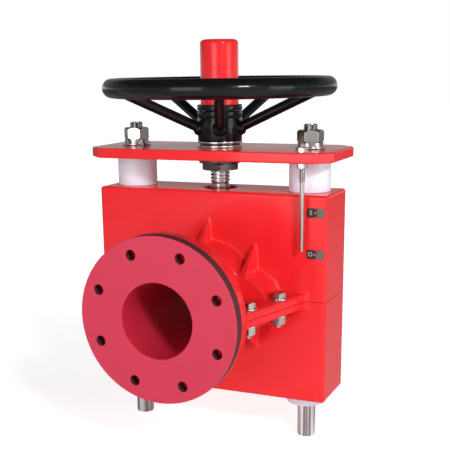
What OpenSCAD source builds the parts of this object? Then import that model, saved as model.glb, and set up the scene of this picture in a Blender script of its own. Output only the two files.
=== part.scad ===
// Manual pinch valve for a pipeline: a cast body in two halves, a rubber sleeve through it,
// and a handwheel that draws the yoke up while it drives the stem down.
// The origin is the centre of the inlet face, +Y is the way of the flow and +Z is up.

/* [Flanges and bore] */
// Diameter of the flow bore
bore_d = 100; // [80:1:106]
// Bolt circle of the flange holes
bolt_circle_d = 180; // [172:1:210]
// Distance from the bolt circle to the flange rim
flange_edge = 20; // [14:1:30]
// Diameter of a flange hole
bolt_hole_d = 14; // [10:1:18]
// Number of holes in each flange
bolt_count = 8; // [4:4:12]
// Distance between the two sealing faces
face_to_face = 420; // [400:1:480]
// Thickness of the red rubber facing
facing_t = 3; // [2:0.5:5]
// Thickness of the dark rubber flange behind the facing
backing_t = 15; // [8:0.5:18]
// Thickness of the cast flange
flange_t = 18; // [14:0.5:22]
// Wall of the red liner in the bore
liner_wall = 3; // [2:0.5:4]
// Wall of the dark sleeve round the liner
sleeve_wall = 5; // [3:0.5:6]

/* [Body casting] */
// Distance from each guide rod to the end of the body
body_end = 39; // [34:1:50]
// Depth of the body, along the flow
body_d = 90; // [84:1:110]
// Height of each half above or below the flow axis
half_h = 145; // [140:1:160]
// Radius of the rounded body edges
edge_r = 4; // [2:0.5:6]
// Open seam between the halves
seam = 0.8; // [0.4:0.1:1]
// Wall of the neck behind each flange
neck_wall = 10; // [7:0.5:12]
// Wall of the barrel where it joins the body
barrel_wall = 16; // [14:0.5:20]
// Radius of the cast fillets at the neck
neck_fillet = 6; // [3:0.5:8]
// Radius of the cast fillet where the barrel meets the body
root_fillet = 6; // [4:0.5:8]
// Length of the barrel in front of the body
barrel_l = 48; // [40:1:56]
// Radius of the rounded shoulders between the barrel and the ears
shoulder_r = 51; // [48:1:56]
// Distance from the flow axis to the centre line of a shoulder, on the far side of the seam
shoulder_drop = 12; // [8:1:16]
// Gap between the shoulders and the washers of the ear bolts
shoulder_gap = 1; // [0.5:0.5:3]
// Thickness of one bolting ear
ear_t = 10; // [8:0.5:14]
// Distance from the end of the body to the outer end of the ears
ear_step = 28; // [22:1:36]
// Radius of the fillet between an ear's edge and the body
ear_fillet = 8; // [4:1:12]
// Sideways place of the outer ribs
rib_x = 69; // [60:1:76]
// Rise of the middle rib above the barrel at the body
rib_h = 31; // [20:1:34]
// Length of the middle rib in front of the body
rib_l = 30; // [20:1:38]
// Rise of an outer rib above its shoulder at the body
outer_rib_h = 36; // [24:1:40]
// Thickness of a rib at its foot
rib_t = 11; // [8:0.5:14]
// Thickness of a rib at its tip
rib_tip_t = 5; // [3:0.5:7]

/* [Ear bolts] */
// Thread diameter of the ear bolts
ear_bolt_d = 12; // [10:1:14]
// Width across flats of their heads and nuts
ear_bolt_flats = 18; // [17:1:20]
// Height of a bolt head
ear_head_h = 7.5; // [6:0.5:9]
// Height of a nut
ear_nut_h = 10; // [8:0.5:12]
// Thickness of the plain washers
ear_washer_t = 2.5; // [1.5:0.5:3]
// Bolt end that shows below its nut
ear_bolt_end = 4; // [2:0.5:6]
// Distance from the ear's sloping edge to the bolts
ear_bolt_inset = 13; // [12:0.5:16]
// Distance from the body face to the inner bolt
ear_bolt_near = 40; // [36:1:44]
// Distance between the two bolts of an ear
ear_bolt_step = 63; // [56:1:66]

/* [Guides] */
// Distance from the middle to each guide rod
guide_x = 133; // [128:1:140]
// Diameter of the guide rods
rod_d = 26; // [24:0.5:30]
// Length of rod that stays below the body with the valve shut
rod_spare = 11; // [3:1:20]
// Diameter of the white bushes
bush_d = 57; // [50:1:60]
// Height of the upper bushes above the body
bush_h = 43; // [40:1:60]
// Height of the lower bushes below the body
lower_bush_h = 14; // [8:1:20]
// Diameter of the spigot that holds a bush in the body
spigot_d = 40; // [38:1:44]
// Depth of the spigot in the body
spigot_h = 30; // [20:1:40]
// Radial clearance of the rods in the bushes
guide_clear = 0.3; // [0.2:0.05:0.6]

/* [Yoke] */
// Distance from each guide rod to the end of the yoke plate
plate_end = 47; // [42:1:60]
// Depth of the yoke plate
plate_d = 140; // [132:1:150]
// Thickness of the yoke plate
plate_t = 14; // [12:0.5:18]
// Cut-off corner of the yoke plate
plate_corner = 22; // [14:1:28]
// Radius of the rounded plate edges
plate_edge_r = 2; // [1:0.5:3]
// Gap between the resting plate and the bushes
stop_gap = 0.3; // [0.2:0.05:0.5]
// Thread diameter of the rod studs
stud_d = 20; // [18:1:22]
// Height of the studs above the plate
stud_h = 33; // [31:1:38]
// Width across flats of the stud nuts
stud_nut_flats = 32; // [30:1:34]
// Height of the stud nuts
stud_nut_h = 17; // [14:0.5:18]
// Diameter of the plain washers
washer_d = 41; // [38:1:44]
// Thickness of the plain washers
washer_t = 3; // [2:0.5:4]
// Thickness of the spring washers
spring_t = 5; // [3:0.5:6]
// Outer diameter of the spring washers
spring_d = 35; // [32:1:36]
// Direction of the slit in the spring washers
slit_a = -97; // [-180:1:180]
// Turn of the left stud nut
left_nut_a = -46; // [-90:1:90]
// Turn of the right stud nut
right_nut_a = -37; // [-90:1:90]

/* [Position indicator] */
// Sideways distance from the right guide rod to the indicator rod
pointer_off = 8; // [4:1:12]
// Distance of the indicator rod in front of the body face
pointer_gap = 13; // [12:0.5:15]
// Diameter of the rod
pointer_d = 6; // [5:0.5:7]
// Diameter of its threaded top
pointer_thread_d = 8; // [7.5:0.5:9]
// Length of thread below the plate
pointer_thread_l = 25; // [16:1:30]
// Width across flats of its nuts
pointer_nut_flats = 13; // [12:0.5:14]
// Height of its nuts
pointer_nut_h = 6.5; // [5:0.5:7]
// Height of the open mark over the flow axis
open_z = 66; // [60:1:72]
// Height of the rod tip over the middle of the open mark
tip_rise = 5.5; // [0:0.5:8]
// Length of a mark plate
mark_w = 24; // [20:1:28]
// Height of a mark plate
mark_h = 12; // [10:0.5:16]
// Length of the small point on a mark plate
mark_nib = 2.4; // [1:0.2:4]
// Thickness of a mark plate
mark_t = 1.2; // [0.8:0.1:2]
// Distance from the end of the body to the mark plates
mark_edge = 3; // [2:0.5:5]

/* [Screw drive] */
// Lift of the yoke, and fall of the stem, from open to shut
travel = 56; // [40:1:60]
// Diameter of the stem
stem_d = 28; // [24:1:30]
// Radial clearance of the stem in the drive sleeve
stem_clear = 0.4; // [0.3:0.05:0.8]
// Outer diameter of the drive sleeve
drive_d = 42; // [40:1:46]
// Radial clearance of the drive sleeve in the plate
drive_clear = 0.5; // [0.3:0.05:1]
// Diameter of the stem opening in the body
stem_hole_d = 48; // [44:1:52]
// Metal left between the stem opening and the sleeve
stem_web = 4; // [2:0.5:8]
// Gap under the stem with the valve shut
stem_foot_gap = 6; // [5:0.5:8]
// Outer diameter of the thrust bearing
bearing_d = 63; // [60:1:68]
// Thickness of a bearing race
race_t = 2.8; // [2:0.1:4]
// Thickness of the ball cage
cage_t = 2.4; // [2:0.1:3]
// Running gap between turning faces
face_gap = 0.3; // [0.2:0.05:0.5]
// Diameter of the ring under the plate
collar_d = 60; // [54:1:64]
// Thickness of the ring under the plate
collar_t = 8; // [5:0.5:10]
// Width across flats of the retaining nut
drive_nut_flats = 50; // [48:1:54]
// Height of the retaining nut
drive_nut_h = 9.5; // [7:0.5:12]

/* [Handwheel] */
// Diameter of the hub
hub_d = 62; // [58:1:66]
// Height of the hub
hub_h = 33; // [28:1:38]
// Height of each slotted lock ring
ring_h = 7.5; // [6:0.5:9]
// Diameter of the lock rings
ring_d = 63; // [60:1:66]
// Groove between hub and rings
ring_groove = 0.8; // [0.5:0.1:1]
// Outer diameter of the handwheel
wheel_d = 325; // [300:1:350]
// Diameter of the rim tube
rim_tube_d = 26; // [24:0.5:30]
// Height of the rim above the yoke plate
rim_rise = 82; // [74:1:94]
// Diameter of a spoke
spoke_d = 14; // [11:0.5:16]
// Number of spokes
spoke_count = 5; // [3:1:6]
// Direction of the first spoke
spoke_a = -67; // [-180:1:180]
// Height over the bottom of the hub at which the spokes point to its axis
spoke_foot = 4.5; // [3:0.5:18]
// Diameter of the stem cover
cover_d = 53; // [50:1:58]
// Height of the stem cover
cover_h = 87; // [80:1:120]
// Wall of the stem cover
cover_wall = 3; // [2:0.5:5]
// Radius of the rounded top of the stem cover
cover_top_r = 6; // [4:0.5:9]

/* [Hidden] */
$fn = 72;

// Overlap that fuses shapes of one casting, and play of cutters past a face
fuse = 1;
cut = 1;
// Steps in a rounded corner
corner_steps = 5;
// Width of the edge cut on nuts, as a share of their height
nut_edge = 0.16;
// Clearance hole share for bolts
bolt_play = 0.5;

// Levels along the flow
mid_y = face_to_face / 2;
body_front = mid_y - body_d / 2;
cast_start = facing_t + backing_t;
cast_end = cast_start + flange_t;
barrel_start = body_front - barrel_l;

// Radii round the flow axis
flange_d = bolt_circle_d + 2 * flange_edge;
liner_r = bore_d / 2 + liner_wall;
sleeve_r = liner_r + sleeve_wall;
neck_r = sleeve_r + neck_wall;
barrel_r = sleeve_r + barrel_wall;
ear_root = flange_d / 2 - 4;

// Widths
body_w = 2 * (guide_x + body_end);
plate_w = 2 * (guide_x + plate_end);
ear_reach = body_w / 2 - ear_step;
pointer_x = guide_x + pointer_off;
mark_x = body_w / 2 - mark_edge - mark_w / 2;

// Levels up the valve, in the open position
plate_z = half_h + bush_h + stop_gap;
plate_top = plate_z + plate_t;
race_z = plate_top + race_t;
cage_z = race_z + cage_t;
upper_race_z = cage_z + face_gap;
hub_z = upper_race_z + race_t;
ring_z = hub_z + hub_h + ring_groove;
upper_ring_z = ring_z + ring_h + ring_groove;
cover_z = upper_ring_z + ring_h;
rim_z = plate_top + rim_rise;
collar_z = plate_z - face_gap - collar_t;
drive_z = collar_z - drive_nut_h;
stem_hole_z = sleeve_r + stem_web;
stem_z = stem_hole_z + stem_foot_gap + travel;
stem_top = cover_z + cover_h - cover_wall - stem_foot_gap;
rod_z = -half_h - travel - rod_spare;
shut_z = open_z + travel;

// Handwheel radii
rim_r = wheel_d / 2 - rim_tube_d / 2;
spoke_foot_z = hub_z + spoke_foot;
spoke_tilt = atan2(rim_z - spoke_foot_z, rim_r);

// Ear bolts: the edge of an ear runs straight from the flange to the body
ear_edge_a = atan2(ear_reach - ear_root, body_front - cast_end);
function ear_edge(y) = ear_root + (y - cast_end) * tan(ear_edge_a);
ear_bolt_ys = [for (i = [0, 1]) body_front - ear_bolt_near - i * ear_bolt_step];
function ear_bolt_x(y) = ear_edge(y) - ear_bolt_inset / cos(ear_edge_a);
ear_face = seam / 2 + ear_t;
ear_washer_d = ear_bolt_flats / cos(30) + 3;

// Shoulders: each is part of a round that passes the inner ear bolt's washer
shoulder_a = asin(shoulder_drop / shoulder_r);
shoulder_x = ear_bolt_x(ear_bolt_ys[0]) - ear_washer_d / 2 - shoulder_gap
  - sqrt(pow(shoulder_r, 2) - pow(ear_face + shoulder_drop, 2));

pointer_y = body_front - pointer_gap;

cast_red = [0.93, 0.17, 0.18];
face_red = [0.85, 0.25, 0.34];
dark_rubber = [0.30, 0.15, 0.17];
steel = [0.72, 0.72, 0.73];
chrome = [0.82, 0.82, 0.85];
black = [0.07, 0.07, 0.08];
white = [0.93, 0.91, 0.93];

// Corner points of a rectangle with rounded corners, centred on the origin
function round_rect(w, h, r) = [
  for (q = [0:3], i = [0:corner_steps])
    let (a = 90 * (q + i / corner_steps), sx = (q == 0 || q == 3) ? 1 : -1, sy = q < 2 ? 1 : -1)
      [sx * (w / 2 - r) + r * cos(a), sy * (h / 2 - r) + r * sin(a)]
];

// Points of an arc about a centre
function arc(cx, cy, r, a0, a1, steps = corner_steps) = [
  for (i = [0:steps])
    let (a = a0 + (a1 - a0) * i / steps) [cx + r * cos(a), cy + r * sin(a)]
];

// Points of an outline whose right side is given, closed by its mirror image on the left
function both_sides(right) = concat(right, [for (i = [len(right) - 1:-1:0]) [-right[i][0], right[i][1]]]);

// Turns what stands on the XY plane so that it runs along the flow from the level y
module along_flow(y) {
  translate([0, y, 0]) rotate([-90, 0, 0]) children();
}

// Repeats the inlet end at the outlet end
module both_ends() {
  children();
  translate([0, face_to_face, 0]) mirror([0, 1, 0]) children();
}

// Repeats the upper side below the flow axis
module above_and_below() {
  children();
  mirror([0, 0, 1]) children();
}

// The flange holes, straddling the vertical, as cutters through everything at an end
module flange_holes(depth) {
  for (i = [0:bolt_count - 1])
    rotate([0, (i + 0.5) * 360 / bolt_count, 0])
      translate([bolt_circle_d / 2, 0, 0])
        along_flow(-cut) cylinder(h = depth + 2 * cut, d = bolt_hole_d);
}

// Plain ring from level z
module ring(z, h, d, hole_d) {
  translate([0, 0, z]) difference() {
    cylinder(h = h, d = d);
    translate([0, 0, -cut]) cylinder(h = h + 2 * cut, d = hole_d);
  }
}

// Hexagon from the origin upwards, with its corners turned off
module hexagon(flats, h) {
  corner = flats / cos(30) / 2;
  edge = h * nut_edge;
  intersection() {
    cylinder(h = h, r = corner, $fn = 6);
    rotate_extrude()
      polygon([[0, 0], [flats / 2, 0], [corner + fuse, edge * (1 + fuse / (corner - flats / 2))],
               [corner + fuse, h - edge * (1 + fuse / (corner - flats / 2))], [flats / 2, h], [0, h]]);
  }
}

// Hexagon nut from the origin upwards
module nut(flats, h, thread_d) {
  difference() {
    hexagon(flats, h);
    translate([0, 0, -cut]) cylinder(h = h + 2 * cut, d = thread_d);
  }
}

// Body box with all its edges rounded
module body_box() {
  translate([0, mid_y, 0]) intersection() {
    linear_extrude(height = 2 * half_h, center = true) polygon(round_rect(body_w, body_d, edge_r));
    rotate([90, 0, 0])
      linear_extrude(height = body_d, center = true) polygon(round_rect(body_w, 2 * half_h, edge_r));
    rotate([90, 0, 90])
      linear_extrude(height = body_w, center = true) polygon(round_rect(body_d, 2 * half_h, edge_r));
  }
}

// Barrel section: a circle with a rounded shoulder above and below each ear
module barrel_section() {
  reach = shoulder_x + shoulder_r * cos(shoulder_a);
  right = concat([[reach, -fuse]],
                 arc(shoulder_x, -shoulder_drop, shoulder_r, shoulder_a, 90, 2 * corner_steps));
  circle(r = barrel_r);
  for (side = [-1, 1])
    polygon([for (p = both_sides(right)) [p[0], side * p[1]]]);
}

// Height of the barrel's crown, or of a shoulder, over the flow axis at the sideways place x
function barrel_top(x) =
  x == 0 ? barrel_r : sqrt(pow(shoulder_r, 2) - pow(abs(x) - shoulder_x, 2)) - shoulder_drop;

// Upright rib that stiffens the barrel against the body, thin at its tip
module rib(x, rise, run) {
  foot = barrel_top(x);
  tip = foot + rise;
  base = foot - rib_t;
  start = body_front - run;
  back = body_front + edge_r;
  translate([x, 0, 0]) intersection() {
    rotate([90, 0, 90]) linear_extrude(height = rib_t, center = true)
      polygon([[start, base], [start, foot - fuse / 2], [body_front, tip], [back, tip], [back, base]]);
    translate([0, back + cut, 0]) rotate([90, 0, 0]) linear_extrude(height = run + 2 * edge_r)
      polygon([[-rib_t / 2, base], [rib_t / 2, base], [rib_t / 2, foot],
               [rib_tip_t / 2, tip], [-rib_tip_t / 2, tip], [-rib_t / 2, foot]]);
  }
}

// Flange and neck, turned in one profile with a fillet at each end of the neck
module flange_and_neck() {
  f = neck_fillet;
  along_flow(0) rotate_extrude()
    polygon(concat([[0, cast_start], [flange_d / 2, cast_start], [flange_d / 2, cast_end]],
                   arc(neck_r + f, cast_end + f, f, 270, 180),
                   arc(neck_r + f, barrel_start - f, f, 180, 90),
                   [[neck_r + f, barrel_start + fuse], [0, barrel_start + fuse]]));
}

// Hollow fillet at the body face round a cylinder of radius r along the flow
module root(r) {
  f = root_fillet;
  inner = r - f / 2;
  along_flow(0) rotate_extrude()
    polygon(concat([[inner, body_front + edge_r], [inner, body_front - f]],
                   arc(r - fuse / 4 + f, body_front - f, f, 180, 90),
                   [[r + f, body_front + edge_r]]));
}

// Hollow fillet at the body face round the upper shoulders
module shoulder_roots() {
  intersection() {
    for (side = [-1, 1]) translate([side * shoulder_x, 0, -shoulder_drop]) root(shoulder_r);
    translate([-body_w / 2, 0, ear_face / 2]) cube([body_w, mid_y, half_h]);
  }
}

// Flange, neck, barrel, ribs and ears at the inlet end, both halves in one
module end_casting() {
  edge_x = ear_reach + ear_fillet * (1 - sin(ear_edge_a)) / cos(ear_edge_a);
  ear_side = concat([[ear_root, cast_end - fuse], [ear_root, cast_end]],
                    arc(edge_x, body_front - ear_fillet, ear_fillet, 180 - ear_edge_a, 90),
                    [[edge_x, body_front + edge_r]]);
  flange_and_neck();
  root(barrel_r);
  translate([0, body_front + edge_r, 0]) rotate([90, 0, 0])
    linear_extrude(height = barrel_l + edge_r) barrel_section();
  above_and_below() {
    shoulder_roots();
    rib(0, rib_h, rib_l);
    for (x = [-rib_x, rib_x]) rib(x, outer_rib_h, barrel_l);
  }
  linear_extrude(height = 2 * ear_face, center = true) polygon(both_sides(ear_side));
}

// Places the ear bolts of one side, side is -1 for the left and 1 for the right
module at_ear_bolts(side) {
  both_ends() for (y = ear_bolt_ys) translate([side * ear_bolt_x(y), y, 0]) children();
}

// Both halves of the casting with every opening cut
module casting() {
  difference() {
    union() {
      body_box();
      both_ends() end_casting();
    }
    along_flow(0) cylinder(h = face_to_face, r = sleeve_r);
    both_ends() flange_holes(cast_end);
    for (side = [-1, 1]) {
      at_ear_bolts(side) cylinder(h = 4 * ear_face, d = ear_bolt_d + bolt_play, center = true);
      translate([side * guide_x, mid_y, 0]) {
        cylinder(h = 3 * half_h, d = rod_d + 6 * guide_clear, center = true);
        above_and_below() translate([0, 0, half_h - spigot_h]) cylinder(h = 2 * spigot_h, d = spigot_d);
      }
    }
    translate([0, mid_y, stem_hole_z]) cylinder(h = half_h, d = stem_hole_d);
  }
}

// Keeps the part of a shape above the seam
module above_seam() {
  intersection() {
    children();
    translate([-body_w, -cut, seam / 2]) cube([2 * body_w, face_to_face + 2 * cut, 2 * half_h]);
  }
}

module upper_body() {
  color(cast_red) above_seam() casting();
}

module lower_body() {
  color(cast_red) mirror([0, 0, 1]) above_seam() mirror([0, 0, 1]) casting();
}

// Dark rubber sleeve with a thick flange at each end
module sleeve() {
  color(dark_rubber) difference() {
    union() {
      along_flow(facing_t) cylinder(h = face_to_face - 2 * facing_t, r = sleeve_r);
      both_ends() along_flow(facing_t) cylinder(h = backing_t, d = flange_d);
    }
    along_flow(0) cylinder(h = face_to_face, r = liner_r);
    both_ends() flange_holes(cast_start);
  }
}

// Red liner of the bore, spread out over both sealing faces
module liner() {
  color(face_red) difference() {
    union() {
      along_flow(0) cylinder(h = face_to_face, r = liner_r);
      both_ends() along_flow(0) cylinder(h = facing_t, d = flange_d);
    }
    along_flow(-cut) cylinder(h = face_to_face + 2 * cut, d = bore_d);
    both_ends() flange_holes(facing_t);
  }
}

// Bolt of an ear, hanging from its head on the washer
module ear_bolt() {
  grip = ear_face + ear_washer_t;
  translate([0, 0, grip]) hexagon(ear_bolt_flats, ear_head_h);
  translate([0, 0, -grip - ear_nut_h - ear_bolt_end])
    cylinder(h = 2 * grip + ear_nut_h + ear_bolt_end + fuse, d = ear_bolt_d);
  ring(ear_face, ear_washer_t, ear_washer_d, ear_bolt_d - fuse);
}

// Nut and washer under an ear
module ear_nut() {
  ring(-ear_face - ear_washer_t, ear_washer_t, ear_washer_d, ear_bolt_d);
  translate([0, 0, -ear_face - ear_washer_t - ear_nut_h]) nut(ear_bolt_flats, ear_nut_h, ear_bolt_d);
}

module left_ear_bolts() {
  color(steel) at_ear_bolts(-1) ear_bolt();
}

module right_ear_bolts() {
  color(steel) at_ear_bolts(1) ear_bolt();
}

module left_ear_nuts() {
  color(steel) at_ear_bolts(-1) ear_nut();
}

module right_ear_nuts() {
  color(steel) at_ear_bolts(1) ear_nut();
}

// White guide bush on the body, with a spigot let into it
module bush(side, h) {
  bore = rod_d + 2 * guide_clear;
  color(white) translate([side * guide_x, mid_y, half_h]) {
    ring(0, h, bush_d, bore);
    ring(-spigot_h, spigot_h, spigot_d, bore);
  }
}

module left_upper_bush() {
  bush(-1, bush_h);
}

module right_upper_bush() {
  bush(1, bush_h);
}

module left_lower_bush() {
  mirror([0, 0, 1]) bush(-1, lower_bush_h);
}

module right_lower_bush() {
  mirror([0, 0, 1]) bush(1, lower_bush_h);
}

// Mark plate on the body face, pointed toward the indicator rod
module mark(z) {
  x = mark_w / 2;
  y = mark_h / 2;
  color(black) translate([mark_x, body_front, z]) rotate([90, 0, 0])
    linear_extrude(height = mark_t)
      polygon([[-x - mark_nib, 0], [-x, -mark_nib / 2], [-x, -y], [x, -y],
               [x, y], [-x, y], [-x, mark_nib / 2]]);
}

module open_mark() {
  mark(open_z);
}

module shut_mark() {
  mark(shut_z);
}

// Bar of the plate's section with rounded edges, its sides across apart along the direction a
module rounded_bar(a, across) {
  rotate([90, 0, a]) linear_extrude(height = 2 * plate_w, center = true)
    translate([0, plate_t / 2]) polygon(round_rect(across, plate_t, plate_edge_r));
}

// Yoke plate with cut-off corners
module yoke_plate() {
  corner_across = (plate_w + plate_d - 2 * plate_corner) * sin(45);
  color(cast_red) translate([0, mid_y, plate_z]) difference() {
    intersection() {
      rounded_bar(0, plate_w);
      rounded_bar(90, plate_d);
      rounded_bar(45, corner_across);
      rounded_bar(-45, corner_across);
    }
    translate([0, 0, -cut]) {
      cylinder(h = plate_t + 2 * cut, d = drive_d + 2 * drive_clear);
      for (side = [-1, 1])
        translate([side * guide_x, 0, 0]) cylinder(h = plate_t + 2 * cut, d = stud_d);
      translate([pointer_x, pointer_y - mid_y, 0]) cylinder(h = plate_t + 2 * cut, d = pointer_thread_d);
    }
  }
}

// Guide rod with its stud through the plate
module guide_rod(side) {
  r = rod_d / 2;
  stud_r = stud_d / 2;
  bevel = rod_d / 12;
  top = plate_top + stud_h;
  color(chrome) translate([side * guide_x, mid_y, 0]) rotate_extrude()
    polygon([[0, rod_z], [r - bevel, rod_z], [r, rod_z + bevel], [r, plate_z],
             [stud_r, plate_z], [stud_r, top - bevel], [stud_r - bevel, top], [0, top]]);
}

module left_guide_rod() {
  guide_rod(-1);
}

module right_guide_rod() {
  guide_rod(1);
}

module washer(side) {
  color(steel) translate([side * guide_x, mid_y, 0]) ring(plate_top, washer_t, washer_d, stud_d);
}

module left_washer() {
  washer(-1);
}

module right_washer() {
  washer(1);
}

// Spring washer with its slanting slit
module spring_washer(side) {
  slit = spring_t / 2;
  color(steel) translate([side * guide_x, mid_y, plate_top + washer_t]) difference() {
    ring(0, spring_t, spring_d, stud_d);
    rotate([0, 0, slit_a]) translate([spring_d / 2, 0, spring_t / 2]) rotate([30, 0, 0])
      cube([spring_d, slit, 4 * spring_t], center = true);
  }
}

module left_spring_washer() {
  spring_washer(-1);
}

module right_spring_washer() {
  spring_washer(1);
}

module rod_nut(side, a) {
  color(steel) translate([side * guide_x, mid_y, plate_top + washer_t + spring_t])
    rotate([0, 0, a]) nut(stud_nut_flats, stud_nut_h, stud_d);
}

module left_rod_nut() {
  rod_nut(-1, left_nut_a);
}

module right_rod_nut() {
  rod_nut(1, right_nut_a);
}

// Thin rod that hangs from the plate and points at the marks
module indicator_rod() {
  thread_z = plate_z - pointer_thread_l;
  top = plate_top + pointer_nut_h + pointer_thread_d / 2;
  color(steel) translate([pointer_x, pointer_y, 0]) {
    translate([0, 0, open_z + tip_rise]) cylinder(h = thread_z - open_z - tip_rise + fuse, d = pointer_d);
    translate([0, 0, thread_z]) cylinder(h = top - thread_z, d = pointer_thread_d);
  }
}

module indicator_top_nut() {
  color(steel) translate([pointer_x, pointer_y, plate_top])
    nut(pointer_nut_flats, pointer_nut_h, pointer_thread_d);
}

module indicator_lower_nut() {
  color(steel) translate([pointer_x, pointer_y, plate_z - pointer_nut_h])
    nut(pointer_nut_flats, pointer_nut_h, pointer_thread_d);
}

// Places a piece on the axis of the stem
module on_axis() {
  translate([0, mid_y, 0]) children();
}

// Thrust bearing between plate and hub: two races with a ball cage between them
module lower_race() {
  color(chrome) on_axis() ring(plate_top, race_t, bearing_d, drive_d + 2 * drive_clear);
}

module ball_cage() {
  color(steel) on_axis() ring(race_z, cage_t, bearing_d - 2 * race_t, drive_d + 4 * drive_clear);
}

module upper_race() {
  color(chrome) on_axis() ring(upper_race_z, race_t, bearing_d, drive_d);
}

module hub() {
  color(black) on_axis() ring(hub_z, hub_h, hub_d, drive_d);
}

// Round lock ring with four spanner slots
module lock_ring(z) {
  slot = ring_h * 0.8;
  color(black) on_axis() difference() {
    ring(z, ring_h, ring_d, drive_d);
    for (i = [0:3])
      rotate([0, 0, 45 + spoke_a + 90 * i]) translate([ring_d / 2, 0, z + ring_h / 2])
        cube([slot, slot, 2 * ring_h], center = true);
  }
}

module lower_lock_ring() {
  lock_ring(ring_z);
}

module upper_lock_ring() {
  lock_ring(upper_ring_z);
}

// Threaded sleeve that turns with the hub and carries the stem
module drive_sleeve() {
  color(steel) on_axis() ring(drive_z, cover_z - drive_z, drive_d, stem_d + 2 * stem_clear);
}

module collar_ring() {
  color(chrome) on_axis() ring(collar_z, collar_t, collar_d, drive_d);
}

module retaining_nut() {
  color(black) on_axis() translate([0, 0, drive_z]) rotate([0, 0, spoke_a])
    nut(drive_nut_flats, drive_nut_h, drive_d);
}

module rim_solid() {
  on_axis() translate([0, 0, rim_z]) rotate_extrude() translate([rim_r, 0]) circle(d = rim_tube_d);
}

module wheel_rim() {
  color(black) rim_solid();
}

// Sloping spoke from hub to rim, cut to fit both
module spoke(i) {
  length = rim_r / cos(spoke_tilt);
  if (i <= spoke_count)
    color(black) difference() {
      on_axis() rotate([0, 0, spoke_a + (i - 1) * 360 / spoke_count]) translate([0, 0, spoke_foot_z])
        rotate([0, 90 - spoke_tilt, 0]) cylinder(h = length, d = spoke_d);
      rim_solid();
      on_axis() translate([0, 0, hub_z - spoke_d]) cylinder(h = hub_h + 2 * spoke_d, d = hub_d);
    }
}

module spoke_1() {
  spoke(1);
}

module spoke_2() {
  spoke(2);
}

module spoke_3() {
  spoke(3);
}

module spoke_4() {
  spoke(4);
}

module spoke_5() {
  spoke(5);
}

// Closed tube over the end of the stem
module stem_cover() {
  r = cover_d / 2;
  top_r = cover_top_r;
  color(cast_red) on_axis() translate([0, 0, cover_z]) rotate_extrude()
    polygon(concat([[r - cover_wall, 0], [r, 0]],
                   arc(r - top_r, cover_h - top_r, top_r, 0, 90),
                   [[0, cover_h], [0, cover_h - cover_wall], [r - cover_wall, cover_h - cover_wall]]));
}

module stem() {
  color(steel) on_axis() translate([0, 0, stem_z]) cylinder(h = stem_top - stem_z, d = stem_d);
}

upper_body();
lower_body();
sleeve();
liner();
left_ear_bolts();
right_ear_bolts();
left_ear_nuts();
right_ear_nuts();
left_upper_bush();
right_upper_bush();
left_lower_bush();
right_lower_bush();
open_mark();
shut_mark();
yoke_plate();
left_guide_rod();
right_guide_rod();
left_washer();
right_washer();
left_spring_washer();
right_spring_washer();
left_rod_nut();
right_rod_nut();
indicator_rod();
indicator_top_nut();
indicator_lower_nut();
lower_race();
ball_cage();
upper_race();
hub();
lower_lock_ring();
upper_lock_ring();
drive_sleeve();
collar_ring();
retaining_nut();
wheel_rim();
spoke_1();
spoke_2();
spoke_3();
spoke_4();
spoke_5();
stem_cover();
stem();
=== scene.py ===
"""Looks of a manual pinch valve: its castings, rubber, fastenings, screw drive and handwheel, modelled on the
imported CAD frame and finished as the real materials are."""

import math

import bpy
from mathutils import Matrix, Vector


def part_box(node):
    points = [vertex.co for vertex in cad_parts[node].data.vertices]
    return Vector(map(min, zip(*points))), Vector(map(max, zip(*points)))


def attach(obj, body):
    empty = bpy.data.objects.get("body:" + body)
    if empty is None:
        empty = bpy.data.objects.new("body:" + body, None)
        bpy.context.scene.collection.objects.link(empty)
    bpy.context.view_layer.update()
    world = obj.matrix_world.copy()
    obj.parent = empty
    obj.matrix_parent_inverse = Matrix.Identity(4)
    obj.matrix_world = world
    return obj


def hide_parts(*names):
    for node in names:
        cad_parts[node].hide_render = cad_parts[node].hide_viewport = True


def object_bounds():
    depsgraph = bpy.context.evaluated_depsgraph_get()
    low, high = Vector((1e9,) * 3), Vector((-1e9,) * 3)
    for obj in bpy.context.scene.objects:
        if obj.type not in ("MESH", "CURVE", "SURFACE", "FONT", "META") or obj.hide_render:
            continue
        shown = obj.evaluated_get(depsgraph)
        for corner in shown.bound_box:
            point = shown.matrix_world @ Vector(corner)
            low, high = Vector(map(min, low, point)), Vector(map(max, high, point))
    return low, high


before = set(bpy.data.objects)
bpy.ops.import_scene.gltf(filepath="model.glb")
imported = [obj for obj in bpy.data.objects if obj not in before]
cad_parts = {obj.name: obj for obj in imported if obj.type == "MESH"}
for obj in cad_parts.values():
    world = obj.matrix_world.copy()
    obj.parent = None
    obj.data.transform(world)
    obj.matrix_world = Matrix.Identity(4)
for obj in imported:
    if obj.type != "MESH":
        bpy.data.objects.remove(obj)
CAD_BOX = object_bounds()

bl_info = {
    "name": "Manual pinch valve",
    "version": (1, 0, 0),
    "blender": (4, 5, 0),
    "location": "View3D > Sidebar > Valve",
    "description": "Models and finishes a flanged pinch valve with a handwheel on its CAD frame",
    "category": "Object",
}

MM = 0.001


def linear(code):
    """Turns an sRGB hex colour into linear RGBA."""
    parts = [int(code[i:i + 2], 16) / 255 for i in (0, 2, 4)]
    return tuple(p / 12.92 if p <= 0.04045 else ((p + 0.055) / 1.055) ** 2.4 for p in parts) + (1.0,)


def colour(name, code, description):
    """A colour that a user may change."""
    return bpy.props.FloatVectorProperty(name=name, description=description, subtype="COLOR", size=4,
                                         min=0, max=1, default=linear(code))


def length(name, mm, description):
    """A size that a user may change, given in millimetres."""
    return bpy.props.FloatProperty(name=name, description=description, subtype="DISTANCE", unit="LENGTH",
                                   default=mm * MM, min=0, precision=4)


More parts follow.
